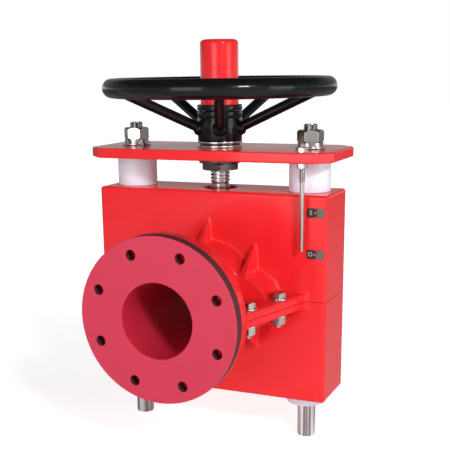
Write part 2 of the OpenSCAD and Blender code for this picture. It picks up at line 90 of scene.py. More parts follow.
def turning(name, degrees, description):
    """A direction that a user may change."""
    return bpy.props.FloatProperty(name=name, description=description, subtype="ANGLE", unit="ROTATION",
                                   default=math.radians(degrees))


class ValveColours(bpy.types.PropertyGroup):
    """Colours of the valve's finishes."""
    red: colour("Red enamel", "EE1C22", "Gloss paint of the castings and the yoke plate")
    red_thin: colour("Thin red enamel", "F2343A", "The same paint where it lies thinner")
    crimson: colour("Crimson rubber", "CC2840", "Liner of the bore")
    crimson_worn: colour("Buffed crimson rubber", "D03C54", "Sealing faces, which are buffed flat")
    band: colour("Dark rubber", "4A2228", "Sleeve behind the sealing face")
    band_dusty: colour("Dusty dark rubber", "5E3036", "The same rubber under dust")
    steel: colour("Bright steel", "CBC7C4", "Nuts, washers, studs and stem")
    steel_dull: colour("Dull steel", "A6A19D", "The same steel where it is handled or dusty")
    chrome: colour("Ground steel", "EFEFF2", "Guide rods")
    # painted reflection: this darker colour is painted in lengthwise stripes on the guide rods, in place of
    # mirrored dark surroundings
    chrome_reflection_streaks: colour("Ground steel reflection streaks", "8A8689", "Darker colour painted in lengthwise stripes on the guide rods as reflection streaks")
    black_oxide: colour("Blackened steel", "4A3E3E", "Collar, retaining nut, drive sleeve and ball cage")
    black_oxide_rubbed: colour("Rubbed blackened steel", "64585A", "The same steel where it is rubbed")
    white: colour("White plastic", "ECF3FF", "Guide bushes")
    white_clouded: colour("Clouded white plastic", "E2E9F8", "The same plastic where it is less clear")
    black: colour("Black enamel", "0C0C0E", "Handwheel, hub and lock rings")
    black_thin: colour("Thin black enamel", "17161A", "The same enamel where it flowed thinner")
    plate: colour("Dark mark plate", "2A1F21", "Open and shut marks")
    plate_rubbed: colour("Rubbed mark plate", "6E625B", "Marks where the blackening has worn")
    letters: colour("Letters", "D9D2CB", "Letters on the marks")
    letters_worn: colour("Worn letters", "A79D95", "Letters where their paint has worn")
    rivet: colour("Copper rivet", "C98C74", "Rivets that hold the marks")
    rivet_bright: colour("Bright copper rivet", "E0B49C", "The same rivets where they are rubbed")
    floor: colour("Floor", "F4F4F4", "Plain pale studio floor")


class ValveSizes(bpy.types.PropertyGroup):
    """Sizes of the detail that is added to the CAD solids."""
    cast_grain: length("Casting grain", 1.5, "Mesh size that the castings are rounded with")
    rubber_edge: length("Rubber edge", 1.0, "Rounding of the rubber's edges")
    ear_thread: length("Ear bolt thread", 12.0, "Thread diameter of the ear bolts")
    ear_flats: length("Ear bolt head", 18.0, "Width across flats of the ear bolts' heads and nuts")
    ear_washer: length("Ear washer", 23.7, "Diameter of the ear bolts' washers")
    ear_washer_t: length("Ear washer thickness", 2.5, "Thickness of the ear bolts' washers")
    bolt_pitch: length("Ear bolt pitch", 1.75, "Pitch of the ear bolts")
    bolt_bevel: length("Ear bolt end", 1.0, "Chamfer of the ear bolts' ends")
    nut_edge: length("Nut edge", 0.5, "Rounding of nuts, washers and bolt heads")
    bush_edge: length("Bush edge", 1.2, "Rounding of the bushes' edges")
    letter: length("Letter height", 6.0, "Height of the letters on the marks")
    rivet: length("Rivet", 2.6, "Diameter of the rivets that hold the marks")
    rod_edge: length("Guide rod edge", 2.0, "Rounding of the guide rods' feet and chamfer of their studs")
    stud: length("Stud", 20.0, "Thread diameter of the guide rods' studs")
    stud_flats: length("Stud nut", 32.0, "Width across flats of the stud nuts")
    stud_pitch: length("Stud pitch", 2.5, "Pitch of the guide rods' studs")
    left_nut_turn: turning("Left stud nut", -46, "Turn of the left stud nut")
    right_nut_turn: turning("Right stud nut", -37, "Turn of the right stud nut")
    pointer: length("Indicator rod", 6.0, "Diameter of the indicator rod")
    pointer_tip: length("Indicator tip", 1.2, "Rounding of the indicator rod's tip")
    pointer_thread: length("Indicator thread", 8.0, "Thread diameter of the indicator rod")
    pointer_thread_l: length("Indicator thread length", 25.0, "Length of that thread below the plate")
    pointer_pitch: length("Indicator pitch", 1.25, "Pitch of the indicator rod's thread")
    pointer_bevel: length("Indicator top", 0.8, "Chamfer of the indicator thread's top")
    pointer_runout: length("Indicator runout", 1.0, "Length over which that thread runs out below")
    pointer_flats: length("Indicator nut", 13.0, "Width across flats of the indicator's nuts")
    hub_edge: length("Hub edge", 0.9, "Rounding of the hub and its rings")
    spoke: length("Spoke", 14.0, "Diameter of a spoke")
    spoke_foot: length("Spoke foot", 4.5, "Height over the hub's bottom at which the spokes point to its axis")
    spoke_turn: turning("First spoke", -67, "Direction of the first spoke")
    weld: length("Weld", 3.5, "Size of the weld round a spoke")
    drive_flats: length("Retaining nut", 50.0, "Width across flats of the retaining nut")
    stem_pitch: length("Stem pitch", 5.0, "Pitch of the left-hand stem thread")
    stem_plain: length("Plain stem end", 27.0, "Length of stem below its thread")
    stem_edge: length("Stem edge", 1.5, "Chamfer of the stem's plain end")
    stem_bevel: length("Stem top", 3.0, "Chamfer of the stem's threaded end")
    stem_groove: length("Stem groove", 2.0, "Depth of the groove below the stem's thread")
    stem_groove_l: length("Stem groove length", 5.0, "Length of that groove")


# ---------------------------------------------------------------------------------------------- mesh

# Points this close are one point, and faces within this angle are one face
CAD_MERGE = 0.004 * MM
MERGE = 0.002 * MM
FLAT_WITHIN = math.radians(0.5)
# How far two forms that are joined run into each other
OVERLAP = 1.0 * MM
# Corners of a rounded edge as shares of its rounding, in from the side and up from the end
EVEN_EDGE = ((1.0, 0.0), (0.3, 0.3), (0.0, 1.0))
BLUNT_EDGE = ((1.0, 0.0), (0.4, 0.2), (0.0, 1.0))
# Share of a nut's height over which its corners are turned off
NUT_CHAMFER = 0.16
# Shares of the pitch at which a tooth leaves its root and meets its crest, and its depth
METRIC = (0.1, 0.42, 0.6)
TRAPEZOID = (0.18, 0.32, 0.42)
# Turns of thread that are swept past its two ends and cut off
SPARE_TURNS = 3


def deselect():
    """Leaves nothing selected."""
    bpy.ops.object.select_all(action="DESELECT")


def choose(piece):
    """Makes a piece the only one selected."""
    deselect()
    piece.select_set(True)
    bpy.context.view_layer.objects.active = piece


def apply_modifier(piece, kind, **settings):
    """Adds a modifier with its settings and applies it."""
    choose(piece)
    modifier = piece.modifiers.new(kind.title(), kind)
    for name, value in settings.items():
        setattr(modifier, name, value)
    bpy.ops.object.modifier_apply(modifier=modifier.name)


def smooth(piece, angle=38):
    """Shades a piece smooth except at edges sharper than the angle."""
    choose(piece)
    bpy.ops.object.shade_smooth_by_angle(angle=math.radians(angle))


def weight_normals(piece):
    """Shades large flat faces flat beside their rounded edges."""
    apply_modifier(piece, "WEIGHTED_NORMAL", keep_sharp=True)


def place_in_mesh():
    """Puts the place of the selected piece into its mesh."""
    bpy.ops.object.transform_apply(location=True, rotation=True, scale=True)


def copy_of(node, name):
    """A copy of a CAD solid with its loose triangles merged into whole faces."""
    piece = bpy.data.objects.new(name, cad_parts[node].data.copy())
    bpy.context.collection.objects.link(piece)
    choose(piece)
    bpy.ops.mesh.customdata_custom_splitnormals_clear()
    bpy.ops.object.mode_set(mode="EDIT")
    bpy.ops.mesh.select_all(action="SELECT")
    bpy.ops.mesh.remove_doubles(threshold=CAD_MERGE)
    bpy.ops.mesh.dissolve_limited(angle_limit=FLAT_WITHIN)
    bpy.ops.object.mode_set(mode="OBJECT")
    return piece


def round_edges(piece, width, angle=50, segments=3):
    """Rounds the edges that are sharper than the angle."""
    apply_modifier(piece, "BEVEL", width=width, segments=segments, limit_method="ANGLE",
                   angle_limit=math.radians(angle), use_clamp_overlap=False)
    smooth(piece)


def join(pieces, name):
    """Joins pieces into the first one."""
    choose(pieces[0])
    for piece in pieces[1:]:
        piece.select_set(True)
    if len(pieces) > 1:
        bpy.ops.object.join()
    pieces[0].name = name
    return pieces[0]


def again(piece, move):
    """Another of a piece, with its own mesh, moved by a matrix."""
    twin = piece.copy()
    twin.data = piece.data.copy()
    bpy.context.collection.objects.link(twin)
    twin.matrix_world = move @ twin.matrix_world
    choose(twin)
    place_in_mesh()
    return twin


def spread(piece, places, name):
    """Copies a piece to each (x, y) place, joins the copies and takes the first piece away."""
    copies = [again(piece, Matrix.Translation((x, y, 0))) for x, y in places]
    bpy.data.objects.remove(piece)
    return join(copies, name)


def drawn(name, points):
    """A line of points in the XZ plane, drawn by extruding one point onwards and left selected in edit mode."""
    deselect()
    bpy.ops.mesh.primitive_plane_add(size=MM)
    piece = bpy.context.object
    piece.name = name
    bpy.ops.object.mode_set(mode="EDIT")
    bpy.ops.mesh.merge(type="CENTER")
    x, z = points[0]
    bpy.ops.transform.translate(value=(x, 0, z))
    for (x0, z0), (x1, z1) in zip(points, points[1:]):
        bpy.ops.mesh.extrude_vertices_move(TRANSFORM_OT_translate={"value": (x1 - x0, 0, z1 - z0)})
    bpy.ops.mesh.select_all(action="SELECT")
    return piece


def turned(name, points, steps=72):
    """A piece turned about the Z axis from a profile of (radius, height) points."""
    piece = drawn(name, points)
    bpy.ops.mesh.spin(steps=steps, angle=math.tau, center=(0, 0, 0), axis=(0, 0, 1))
    bpy.ops.mesh.select_all(action="SELECT")
    bpy.ops.mesh.remove_doubles(threshold=MERGE)
    bpy.ops.mesh.normals_make_consistent(inside=False)
    bpy.ops.object.mode_set(mode="OBJECT")
    smooth(piece)
    return piece


def rounded_foot(radius, level, rounding, edge=EVEN_EDGE):
    """Points of a profile that round its lower outer edge, from the end to the side."""
    return [(radius - inward * rounding, level + upward * rounding) for inward, upward in edge]


def ring(name, inner, outer, low, high, rounding):
    """A turned ring with its outer edges rounded."""
    foot = rounded_foot(outer, low, rounding)
    top = [(outer - inward * rounding, high - upward * rounding) for inward, upward in reversed(EVEN_EDGE)]
    return turned(name, [(inner, low)] + foot + top + [(inner, high), (inner, low)])


def hexagon(name, flats, low, high, hole=0.0, turn=0.0):
    """A nut or bolt head about the Z axis: a hexagon with rounded upright edges, its corners turned off."""
    corner = flats / math.sqrt(3)
    chamfer = NUT_CHAMFER * (high - low)
    deselect()
    bpy.ops.mesh.primitive_cylinder_add(vertices=6, radius=corner, depth=2 * (high - low),
                                        end_fill_type="NGON", location=(0, 0, (low + high) / 2),
                                        rotation=(0, 0, turn + math.radians(30)))
    bar = bpy.context.object
    place_in_mesh()
    bpy.ops.object.mode_set(mode="EDIT")
    bpy.ops.mesh.select_all(action="DESELECT")
    bpy.ops.object.mode_set(mode="OBJECT")
    for edge in bar.data.edges:
        ends = [bar.data.vertices[i].co.z for i in edge.vertices]
        edge.select = abs(ends[0] - ends[1]) > MM
    bpy.ops.object.mode_set(mode="EDIT")
    bpy.ops.mesh.select_mode(type="EDGE")
    bpy.ops.mesh.bevel(offset=bpy.context.scene.valve_sizes.nut_edge, segments=3)
    bpy.ops.mesh.select_mode(type="VERT")
    bpy.ops.object.mode_set(mode="OBJECT")
    profile = [(hole, low), (flats / 2, low), (corner, low + chamfer), (corner, high - chamfer),
               (flats / 2, high), (hole, high)]
    piece = turned(name, profile + (profile[:1] if hole else []))
    apply_modifier(piece, "BOOLEAN", operation="INTERSECT", object=bar, solver="EXACT")
    bpy.data.objects.remove(bar)
    smooth(piece, angle=25)
    return piece


def threaded(name, radius, pitch, low, high, left=False, bevel=0.0, low_bevel=0.0, steps=36, form=METRIC):
    """A screw thread about the Z axis: one tooth swept up round the axis, then cut flat at both ends."""
    leave, meet, depth = form
    root = radius - depth * pitch
    start = low - SPARE_TURNS / 2 * pitch
    tooth = [(root, 0), (root, leave), (radius, meet), (radius, 1 - meet), (root, 1 - leave), (root, 1)]
    piece = drawn(name, [(r, start + share * pitch) for r, share in tooth])
    bpy.ops.object.mode_set(mode="OBJECT")
    turns = math.ceil((high - low) / pitch) + SPARE_TURNS
    apply_modifier(piece, "SCREW", axis="Z", angle=-math.tau if left else math.tau, screw_offset=pitch,
                   iterations=turns, steps=steps, render_steps=steps)
    bpy.ops.object.mode_set(mode="EDIT")
    bpy.ops.mesh.select_all(action="SELECT")
    bpy.ops.mesh.remove_doubles(threshold=MERGE)
    bpy.ops.mesh.bisect(plane_co=(0, 0, low), plane_no=(0, 0, 1), use_fill=True, clear_inner=True)
    bpy.ops.mesh.select_all(action="SELECT")
    bpy.ops.mesh.bisect(plane_co=(0, 0, high), plane_no=(0, 0, 1), use_fill=True, clear_outer=True)
    bpy.ops.mesh.select_all(action="SELECT")
    bpy.ops.mesh.normals_make_consistent(inside=False)
    bpy.ops.object.mode_set(mode="OBJECT")
    for vertex in piece.data.vertices:
        x, y, z = vertex.co
        most = radius - max(0, bevel - (high - z), low_bevel - (z - low))
        reach = math.hypot(x, y)
        if reach > most:
            vertex.co = (x * most / reach, y * most / reach, z)
    smooth(piece, angle=30)
    return piece


def settle(piece, body, slot, material, *nodes):
    """Finishes a piece: its material, the body that it moves with, and the solids that it stands for."""
    piece.data.materials.clear()
    piece.data.materials.append(finish(material))
    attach(piece, body)
    if nodes:
        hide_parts(*nodes)
    return piece


def middle(node):
    """Centre of a CAD solid, and its lowest and highest corners."""
    low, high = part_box(node)
    return (low + high) / 2, low, high


# ----------------------------------------------------------------------------------------- materials

# Inputs of a colour Mix node: its share and its two colours, whose names its other kinds share
MIX_SHARE, MIX_FROM, MIX_TO = 0, 6, 7
# Radii between which the moulded bore turns into the buffed sealing face
BORE_EDGE = (50.2 * MM, 51.5 * MM)
# How far past a mark's middle its blackening reaches, how ragged its edge is and how soft
BLACKING_REACH, BLACKING_RAGGED, BLACKING_SOFT = 6 * MM, 8 * MM, 1 * MM


def per(mm):
    """Texture scale at which a pattern repeats about every so many millimetres."""
    return 1 / (mm * MM)


def palette():
    """The colours that the user has set."""
    return bpy.context.scene.valve_colours


def result(node):
    """The first output of a node that is in use."""
    return next(output for output in node.outputs if output.enabled)


def add(tree, kind, sockets=None, into=None, **settings):
    """Adds a node. Settings are its properties and sockets its inputs: each a constant, an output, or a node for
    its result. Into is the input that the new node's own result goes to."""
    made = tree.nodes.new(kind)
    for name, value in settings.items():
        setattr(made, name, value)
    for key, value in (sockets or {}).items():
        if isinstance(value, bpy.types.Node):
            value = result(value)
        if isinstance(value, bpy.types.NodeSocket):
            tree.links.new(value, made.inputs[key])
        else:
            made.inputs[key].default_value = value
    if into is not None:
        tree.links.new(result(made), into)
    return made


def begin(name, **constants):
    """A new material with its node tree, its shader's inputs with the constants set, and object coordinates."""
    material = bpy.data.materials.new(name)
    material.use_nodes = True
    tree = material.node_tree
    shader = tree.nodes["Principled BSDF"].inputs
    for key, value in constants.items():
        shader[key.replace("_", " ")].default_value = value
    return material, tree, shader, add(tree, "ShaderNodeTexCoord").outputs["Object"]


def red_enamel(name):
    """Gloss alkyd enamel sprayed on cast iron and plate: deep even red, faint orange peel, wavy skin."""
    material, tree, shader, place = begin(name, Specular_IOR_Level=0.14, Coat_Weight=0.25, Coat_Roughness=0.07)
    drift = add(tree, "ShaderNodeTexNoise", {"Vector": place, "Scale": per(70), "Detail": 3.0})
    add(tree, "ShaderNodeMix", {MIX_SHARE: drift, MIX_FROM: palette().red, MIX_TO: palette().red_thin},
        shader["Base Color"], data_type="RGBA")
    add(tree, "ShaderNodeMapRange", {"Value": drift, "To Min": 0.16, "To Max": 0.26}, shader["Roughness"])
    wave = add(tree, "ShaderNodeTexNoise", {"Vector": place, "Scale": per(22), "Detail": 1.0})
    peel = add(tree, "ShaderNodeTexNoise", {"Vector": place, "Scale": per(3), "Detail": 2.0})
    skin = add(tree, "ShaderNodeBump", {"Height": wave, "Strength": 0.25, "Distance": 0.6 * MM})
    add(tree, "ShaderNodeBump", {"Height": peel, "Strength": 0.12, "Distance": 0.25 * MM, "Normal": skin},
        shader["Normal"])
    return material


def crimson_rubber(name):
    """Moulded red rubber: deep crimson in the bore, buffed lighter on the sealing faces, with a faint bloom."""
    material, tree, shader, place = begin(name, Specular_IOR_Level=0.2)
    bloom = add(tree, "ShaderNodeTexNoise", {"Vector": place, "Scale": per(45), "Detail": 4.0})
    axes = add(tree, "ShaderNodeSeparateXYZ", {0: place})
    across = add(tree, "ShaderNodeCombineXYZ", {"X": axes.outputs["X"], "Z": axes.outputs["Z"]})
    radius = add(tree, "ShaderNodeVectorMath", {0: across}, operation="LENGTH")
    buffed = add(tree, "ShaderNodeMapRange", {"Value": radius, "From Min": BORE_EDGE[0],
                                              "From Max": BORE_EDGE[1]})
    tone = add(tree, "ShaderNodeMix", {MIX_SHARE: buffed, MIX_FROM: palette().crimson,
                                       MIX_TO: palette().crimson_worn}, data_type="RGBA")
    shade = add(tree, "ShaderNodeMapRange", {"Value": bloom, "To Min": 0.94, "To Max": 1.06})
    add(tree, "ShaderNodeVectorMath", {0: tone, "Scale": shade}, shader["Base Color"], operation="SCALE")
    add(tree, "ShaderNodeMapRange", {"Value": bloom, "To Min": 0.42, "To Max": 0.58}, shader["Roughness"])
    grain = add(tree, "ShaderNodeTexNoise", {"Vector": place, "Scale": per(1.5), "Detail": 2.0})
    add(tree, "ShaderNodeBump", {"Height": grain, "Strength": 0.1, "Distance": 0.1 * MM}, shader["Normal"])
    return material


def dark_rubber(name):
    """Moulded dark natural rubber: nearly matt, dusty in patches."""
    material, tree, shader, place = begin(name, Specular_IOR_Level=0.3)
    dust = add(tree, "ShaderNodeTexNoise", {"Vector": place, "Scale": per(14), "Detail": 5.0})
    add(tree, "ShaderNodeMix", {MIX_SHARE: dust, MIX_FROM: palette().band, MIX_TO: palette().band_dusty},
        shader["Base Color"], data_type="RGBA")
    add(tree, "ShaderNodeMapRange", {"Value": dust, "To Min": 0.55, "To Max": 0.75}, shader["Roughness"])
    add(tree, "ShaderNodeBump", {"Height": dust, "Strength": 0.2, "Distance": 0.2 * MM}, shader["Normal"])
    return material


def bright_steel(name):
    """Zinc-bright turned steel: neutral metal with turning lines and dull handled patches."""
    material, tree, shader, place = begin(name, Metallic=1.0)
    wear = add(tree, "ShaderNodeTexNoise", {"Vector": place, "Scale": per(9), "Detail": 4.0})
    add(tree, "ShaderNodeMix", {MIX_SHARE: wear, MIX_FROM: palette().steel, MIX_TO: palette().steel_dull},
        shader["Base Color"], data_type="RGBA")
    add(tree, "ShaderNodeMapRange", {"Value": wear, "To Min": 0.16, "To Max": 0.34}, shader["Roughness"])
    # turning lines 0.4 mm apart are too fine to show, so they are drawn 1.2 mm apart
    lines = add(tree, "ShaderNodeTexWave", {"Vector": place, "Scale": per(1.2) / math.tau, "Distortion": 2.0},
                bands_direction="Z")
    add(tree, "ShaderNodeBump", {"Height": lines.outputs["Fac"], "Strength": 0.06, "Distance": 0.05 * MM},
        shader["Normal"])
    return material


def ground_steel(name):
    """Ground and hard-chromed steel: mirror bright, with darker lengthwise stripes painted into its colour as
    reflection streaks.
    """
    material, tree, shader, place = begin(name, Metallic=1.0)
    lengthwise = add(tree, "ShaderNodeMapping", {"Vector": place, "Scale": (1.0, 1.0, 0.02)})
    # painted reflection streaks: noise stretched along the rod picks out stripes whose colour is darkened, in
    # place of mirrored dark surroundings; the roughness follows the same stripes
    reflection_streaks = add(tree, "ShaderNodeTexNoise", {"Vector": lengthwise, "Scale": per(7), "Detail": 2.0})
    rubbed = add(tree, "ShaderNodeMapRange", {"Value": reflection_streaks, "From Min": 0.44, "From Max": 0.58})
    add(tree, "ShaderNodeMix", {MIX_SHARE: rubbed, MIX_FROM: palette().chrome, MIX_TO: palette().chrome_reflection_streaks},
        shader["Base Color"], data_type="RGBA")
    add(tree, "ShaderNodeMapRange", {"Value": reflection_streaks, "To Min": 0.05, "To Max": 0.16}, shader["Roughness"])
    return material


def blackened_steel(name):
    """Oil-blackened steel: dark warm metal with a dull sheen, rubbed at random."""
    material, tree, shader, place = begin(name, Metallic=1.0)
    rub = add(tree, "ShaderNodeTexNoise", {"Vector": place, "Scale": per(6), "Detail": 4.0})
    add(tree, "ShaderNodeMix", {MIX_SHARE: rub, MIX_FROM: palette().black_oxide,
                                MIX_TO: palette().black_oxide_rubbed}, shader["Base Color"], data_type="RGBA")
    add(tree, "ShaderNodeMapRange", {"Value": rub, "To Min": 0.2, "To Max": 0.34}, shader["Roughness"])
    return material


def white_plastic(name):
    """Turned acetal: slightly translucent cool white with faint turning rings."""
    material, tree, shader, place = begin(name, Subsurface_Weight=0.15, Subsurface_Scale=4 * MM)
    cloud = add(tree, "ShaderNodeTexNoise", {"Vector": place, "Scale": per(30), "Detail": 2.0})
    add(tree, "ShaderNodeMix", {MIX_SHARE: cloud, MIX_FROM: palette().white, MIX_TO: palette().white_clouded},
        shader["Base Color"], data_type="RGBA")
    add(tree, "ShaderNodeMapRange", {"Value": cloud, "To Min": 0.36, "To Max": 0.46}, shader["Roughness"])
    rings = add(tree, "ShaderNodeTexWave", {"Vector": place, "Scale": per(1.5) / math.tau}, bands_direction="Z")
    add(tree, "ShaderNodeBump", {"Height": rings.outputs["Fac"], "Strength": 0.05, "Distance": 0.05 * MM},
        shader["Normal"])
    return material


def black_enamel(name):
    """Dipped black stove enamel: nearly black, wet gloss with soft flow waves."""
    material, tree, shader, place = begin(name, Specular_IOR_Level=0.1, Coat_Weight=0.25, Coat_Roughness=0.07)
    flow = add(tree, "ShaderNodeTexNoise", {"Vector": place, "Scale": per(16), "Detail": 2.0})
    add(tree, "ShaderNodeMix", {MIX_SHARE: flow, MIX_FROM: palette().black, MIX_TO: palette().black_thin},
        shader["Base Color"], data_type="RGBA")
    add(tree, "ShaderNodeMapRange", {"Value": flow, "To Min": 0.18, "To Max": 0.32}, shader["Roughness"])
    add(tree, "ShaderNodeBump", {"Height": flow, "Strength": 0.15, "Distance": 0.4 * MM}, shader["Normal"])
    return material


def etched_plate(name):
    """Etched and blackened thin sheet: dark round its letter and rubbed grey beyond the rivet."""
    material, tree, shader, place = begin(name, Specular_IOR_Level=0.3)
    stain = add(tree, "ShaderNodeTexNoise", {"Vector": place, "Scale": per(4), "Detail": 3.0})
    across = add(tree, "ShaderNodeSeparateXYZ", {0: place}).outputs["X"]
    ragged = add(tree, "ShaderNodeMath", {0: stain, 1: BLACKING_RAGGED, 2: across}, operation="MULTIPLY_ADD")
    edge = middle("open_mark")[0].x + BLACKING_REACH
    rubbed = add(tree, "ShaderNodeMapRange", {"Value": ragged, "From Min": edge - BLACKING_SOFT,
                                              "From Max": edge + BLACKING_SOFT})
    add(tree, "ShaderNodeMix", {MIX_SHARE: rubbed, MIX_FROM: palette().plate, MIX_TO: palette().plate_rubbed},
        shader["Base Color"], data_type="RGBA")
    add(tree, "ShaderNodeMapRange", {"Value": stain, "To Min": 0.3, "To Max": 0.5}, shader["Roughness"])
    return material


def letter_paint(name):
    """Pale paint wiped into the etched letters: chalky and a little worn."""
    material, tree, shader, place = begin(name, Roughness=0.6)
    worn = add(tree, "ShaderNodeTexNoise", {"Vector": place, "Scale": per(1.5), "Detail": 3.0})
    add(tree, "ShaderNodeMix", {MIX_SHARE: worn, MIX_FROM: palette().letters, MIX_TO: palette().letters_worn},
        shader["Base Color"], data_type="RGBA")
    return material


def rivet_copper(name):
    """Hammered copper rivet: warm dull metal."""
    material, tree, shader, place = begin(name, Metallic=1.0)
    worn = add(tree, "ShaderNodeTexNoise", {"Vector": place, "Scale": per(1), "Detail": 3.0})
    add(tree, "ShaderNodeMix", {MIX_SHARE: worn, MIX_FROM: palette().rivet, MIX_TO: palette().rivet_bright},
        shader["Base Color"], data_type="RGBA")
    add(tree, "ShaderNodeMapRange", {"Value": worn, "To Min": 0.3, "To Max": 0.5}, shader["Roughness"])
    return material


FINISHES = {
    "red gloss enamel": red_enamel,
    "crimson moulded rubber": crimson_rubber,
    "dark natural rubber": dark_rubber,
    "bright zinc steel": bright_steel,
    "ground chromed steel": ground_steel,
    "oil-blackened steel": blackened_steel,
    "white turned acetal": white_plastic,
    "black stove enamel": black_enamel,
    "etched dark plate": etched_plate,
    "letter paint": letter_paint,
    "copper rivet": rivet_copper,
}


def finish(name):
    """A finish by its name, made when it is first asked for."""
    return bpy.data.materials.get(name) or FINISHES[name](name)


# ----------------------------------------------------------------------------------------- operators

# Points of a cast half up to this share of the joint's height lie on the joint
ON_JOINT = 1.01
# How the remeshed castings are softened, and the share of their faces that is kept
CAST_SOFTENING = {"factor": 0.5, "iterations": 2}
CAST_KEPT = 0.4


class VALVE_OT_castings(bpy.types.Operator):
    """Rounds the two cast halves as a foundry would and paints them"""
    bl_idname = "valve.castings"
    bl_label = "Body castings"

    def execute(self, context):
        halves = (("upper_body", 1), ("lower_body", -1))
        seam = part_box("upper_body")[0].z
        whole = join([grown(half, side, seam) for half, side in halves], "casting")
        apply_modifier(whole, "REMESH", mode="VOXEL", voxel_size=context.scene.valve_sizes.cast_grain)
        apply_modifier(whole, "SMOOTH", **CAST_SOFTENING)
        apply_modifier(whole, "DECIMATE", ratio=CAST_KEPT)
        for half, side in halves:
            piece = again(whole, Matrix())
            piece.name = half + "_casting"
            bpy.ops.object.mode_set(mode="EDIT")
            bpy.ops.mesh.select_all(action="SELECT")
            bpy.ops.mesh.bisect(plane_co=(0, 0, side * seam), plane_no=(0, 0, side), use_fill=True,
                                clear_inner=True)
            bpy.ops.object.mode_set(mode="OBJECT")
            smooth(piece, angle=60)
            weight_normals(piece)
            settle(piece, "housing", "red_paint", "red gloss enamel", half)
        bpy.data.objects.remove(whole)
        return {"FINISHED"}


def grown(half, side, seam):
    """A cast half whose flat joint is moved past the flow axis, so that both halves round off as one casting."""
    piece = copy_of(half, half)
    for vertex in piece.data.vertices:
        if side * vertex.co.z < ON_JOINT * seam:
            vertex.co.z = -side * seam
    return piece


class VALVE_OT_rubber(bpy.types.Operator):
    """Rounds the edges of the sleeve and of the liner with its facings"""
    bl_idname = "valve.rubber"
    bl_label = "Sleeve and liner"

    def execute(self, context):
        for node, slot, material in (("liner", "red_rubber", "crimson moulded rubber"),
                                     ("sleeve", "dark_rubber", "dark natural rubber")):
            piece = copy_of(node, node + "_rubber")
            round_edges(piece, context.scene.valve_sizes.rubber_edge)
            weight_normals(piece)
            settle(piece, "housing", slot, material, node)
        return {"FINISHED"}


# Points this close to a level lie on it, and points this close together belong to one bolt
ON_LEVEL = 0.01 * MM
ONE_BOLT = 20 * MM


class VALVE_OT_ear_bolts(bpy.types.Operator):
    """Rounds the ear bolts and nuts and cuts the thread on the bolt ends"""
    bl_idname = "valve.ear_bolts"
    bl_label = "Ear bolts and nuts"

    def execute(self, context):
        sizes = context.scene.valve_sizes
        r, washer, edge = sizes.ear_thread / 2, sizes.ear_washer / 2, sizes.nut_edge
        for side in ("left", "right"):
            bolts, nuts = side + "_ear_bolts", side + "_ear_nuts"
            end, top = (corner.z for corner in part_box(bolts))
            foot, ear = (corner.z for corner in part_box(nuts))
            places = bolt_places(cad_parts[bolts], end)
            seat = sizes.ear_washer_t - ear
            low, high = foot + OVERLAP, seat + OVERLAP
            bolt = join([ring("washer", r, washer, -ear, seat, edge),
                         hexagon("head", sizes.ear_flats, seat, top),
                         turned("shank", [(0, low), (r, low), (r, high), (0, high)]),
                         threaded("end", r, sizes.bolt_pitch, end, low, low_bevel=sizes.bolt_bevel)], "bolt")
            settle(spread(bolt, places, side + "_bolts"), "housing", "bright_steel", "bright zinc steel", bolts)
            nut = join([ring("washer", r, washer, -seat, ear, edge),
                        hexagon("nut", sizes.ear_flats, foot, -seat, r)], "nut")
            settle(spread(nut, places, side + "_nuts"), "housing", "bright_steel", "bright zinc steel", nuts)
        return {"FINISHED"}


def bolt_places(piece, level):
    """Centres of the round ends that lie at a level."""
    groups = []
    for vertex in piece.data.vertices:
        if abs(vertex.co.z - level) < ON_LEVEL:
            near = [group for group in groups if (group[0] - vertex.co).length < ONE_BOLT]
            if near:
                near[0].append(vertex.co.copy())
            else:
                groups.append([vertex.co.copy()])
    found = []
    for group in groups:
        xs, ys = [point.x for point in group], [point.y for point in group]
        found.append(((min(xs) + max(xs)) / 2, (min(ys) + max(ys)) / 2))
    return found


class VALVE_OT_bushes(bpy.types.Operator):
    """Breaks the edges of the four guide bushes"""
    bl_idname = "valve.bushes"
    bl_label = "Guide bushes"

    def execute(self, context):
        for node in ("left_upper_bush", "right_upper_bush", "left_lower_bush", "right_lower_bush"):
            piece = copy_of(node, node + "_turned")
            round_edges(piece, context.scene.valve_sizes.bush_edge)
            settle(piece, "housing", "white_plastic", "white turned acetal", node)
        return {"FINISHED"}


# A letter's type size over its height, how far it stands proud, and the steps of its curves
LETTER_TYPE = 1.4
LETTER_PROUD = 0.15 * MM
LETTER_STEPS = 4
# A rivet's dome as shares of its radius (out and up), the height of its rim and how deep it is sunk
RIVET_DOME = ((0.8, 0.5), (0.45, 0.7), (0.0, 0.75))
RIVET_RIM = 0.1 * MM
RIVET_SUNK = 0.3 * MM


class VALVE_OT_marks(bpy.types.Operator):
    """Letters and rivets the open and shut marks"""
    bl_idname = "valve.marks"
    bl_label = "Open and shut marks"

    def execute(self, context):
        sizes = context.scene.valve_sizes
        r = sizes.rivet / 2
        dome = [(0, -RIVET_SUNK), (r, -RIVET_SUNK), (r, RIVET_RIM)] + [(out * r, up * r) for out, up in RIVET_DOME]
        for node, letter in (("open_mark", "O"), ("shut_mark", "S")):
            centre, low, _ = middle(node)
            plate = copy_of(node, node + "_plate")
            smooth(plate)
            settle(plate, "housing", "mark_plate", "etched dark plate", node)
            deselect()
            bpy.ops.object.text_add()
            text = context.object
            text.data.body = letter
            text.data.size = sizes.letter * LETTER_TYPE
            text.data.align_x = text.data.align_y = "CENTER"
            text.data.extrude = LETTER_PROUD
            text.data.resolution_u = LETTER_STEPS
            bpy.ops.object.convert(target="MESH")
            text.name = node + "_letter"
            face = Matrix.Translation((centre.x, low.y, centre.z)) @ Matrix.Rotation(math.pi / 2, 4, "X")
            text.matrix_world = face @ Matrix.Translation((-sizes.letter, 0, 0))
            place_in_mesh()
            settle(text, "housing", "mark_plate", "letter paint")
            upright = turned("rivet", dome, steps=24)
            rivet = again(upright, face)
            bpy.data.objects.remove(upright)
            rivet.name = node + "_rivet"
            settle(rivet, "housing", "mark_plate", "copper rivet")
        return {"FINISHED"}


